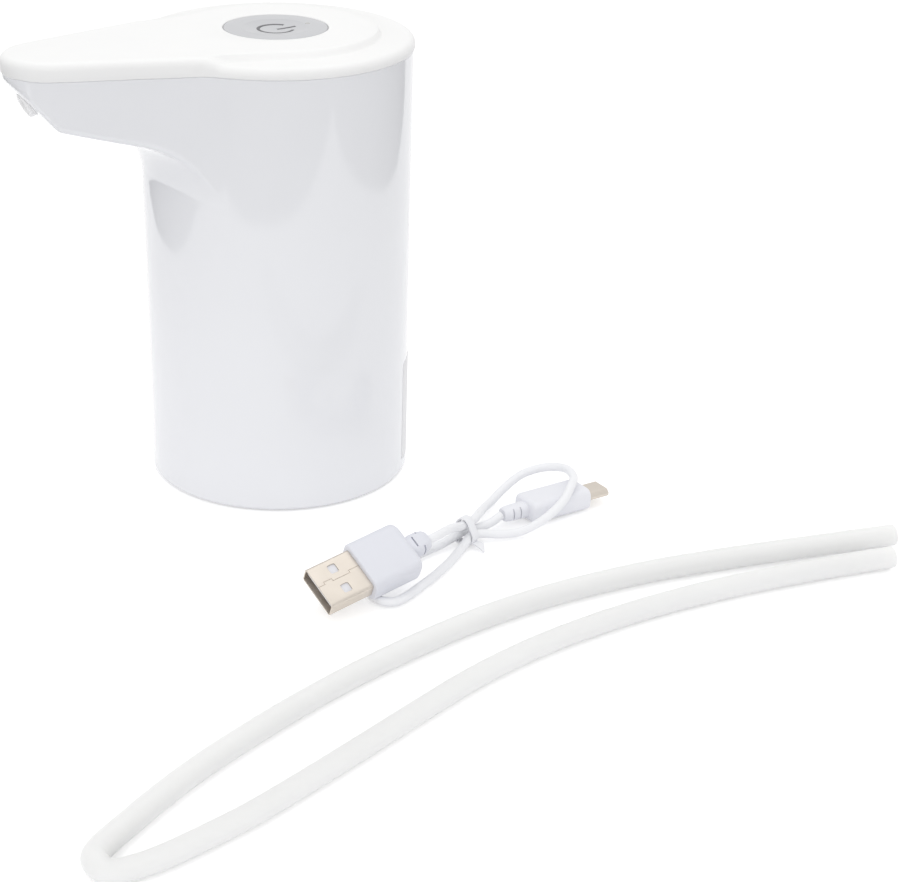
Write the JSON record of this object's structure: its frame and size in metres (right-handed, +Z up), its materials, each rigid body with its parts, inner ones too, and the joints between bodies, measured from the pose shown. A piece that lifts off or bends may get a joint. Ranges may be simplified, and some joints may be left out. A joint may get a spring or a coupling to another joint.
{
  "type": "electric water jug pump",
  "caption": "Barrel-shaped electric pump that seats on a water bottle's neck, with an overhanging spout, a press button, a wobble-plate pump inside, a loose hose and a charging cable.",
  "frame": {"origin": "centre of the pump's bounding box seen from above, on the table it stands on, without its loose hose and cable", "axes": "+Z up along the barrel, -X towards the spout's nozzle, +Y to the spout's right-hand side as seen from the nozzle"},
  "size_m": [0.2379, 0.2059, 0.1216],
  "materials": {
    "white_gloss": "polished white moulding",
    "white_satin": "fine satin white moulding",
    "button_grey": "smooth light grey",
    "lens_clear": "clear light guide",
    "frame_white": "plain moulding",
    "silicone_milky": "milky translucent silicone",
    "rubber_black": "soft black seal",
    "board_green": "solder mask",
    "plastic_black": "plain moulding",
    "cell_blue": "shrink sleeve",
    "plastic_red": "wire insulation",
    "pump_grey": "plain moulding",
    "steel": "zinc plated",
    "dark_steel": "ferrite drum",
    "ferrite": "sintered",
    "copper": "enamelled winding",
    "plug_gold": "pale gold plating",
    "cable_white": "satin soft PVC"
  },
  "bodies": {
    "root": {"main_housing": "white_gloss", "base_plate": "white_gloss", "top_cover": "white_satin", "neck_gasket": "rubber_black", "inner_frame": "frame_white", "base_screw_1": "steel", "base_screw_2": "steel", "base_screw_3": "steel", "base_screw_4": "steel", "pump_head": "pump_grey", "valve_plate": "pump_grey", "diaphragm": "rubber_black", "pump_case": "pump_grey", "motor_can": "steel", "motor_magnet_left": "ferrite", "motor_magnet_right": "ferrite", "motor_end_bell": "plastic_black", "battery_cell": "cell_blue", "battery_tab_minus": "steel", "battery_tab_plus": "steel", "circuit_board": "board_green", "switch_body": "plastic_black", "status_led": "white_satin", "control_chip": "plastic_black", "charge_coil": "dark_steel", "port_shell": "steel", "port_tongue": "plastic_black", "board_screw_left": "steel", "board_screw_right": "steel", "spout_nozzle": "silicone_milky", "outlet_tube": "silicone_milky", "inlet_tube": "silicone_milky", "battery_lead_red": "plastic_red", "battery_lead_black": "plastic_black", "motor_lead_red": "plastic_red", "motor_lead_black": "plastic_black", "hose": "silicone_milky", "usb_cable": "cable_white", "plug_shell": "plug_gold", "plug_tongue": "white_satin", "plug_grip": "cable_white", "micro_shell": "plug_gold", "micro_grip": "cable_white", "cable_tie": "cable_white"},
    "button": {"button_cap": "button_grey", "led_lens": "lens_clear", "switch_plunger": "plastic_black"},
    "rotor": {"armature": "copper", "motor_shaft": "steel", "drive_wheel": "plastic_black", "swash_pin": "steel"},
    "wobbler": {"swash_plate": "pump_grey"}
  },
  "joints": [
    {"name": "button_press", "type": "slide", "parent": "root", "child": "button", "axis": [0, 0, -1], "range_m": [0, 0.0006], "stiffness_N_per_m": 1500, "springref_m": -0.0005},
    {"name": "motor_spin", "type": "hinge", "parent": "root", "child": "rotor", "pos_m": [0.00955, 0, 0.0479], "axis": [0, 0, 1], "continuous": true},
    {"name": "plate_wobble", "type": "hinge", "parent": "rotor", "child": "wobbler", "pos_m": [0.00955, 0, 0.0479], "axis": [0.1045, 0, 0.9945], "continuous": true}
  ],
  "couplings": [
    {"joint": "plate_wobble", "follows": "motor_spin", "ratio": -1}
  ]
}
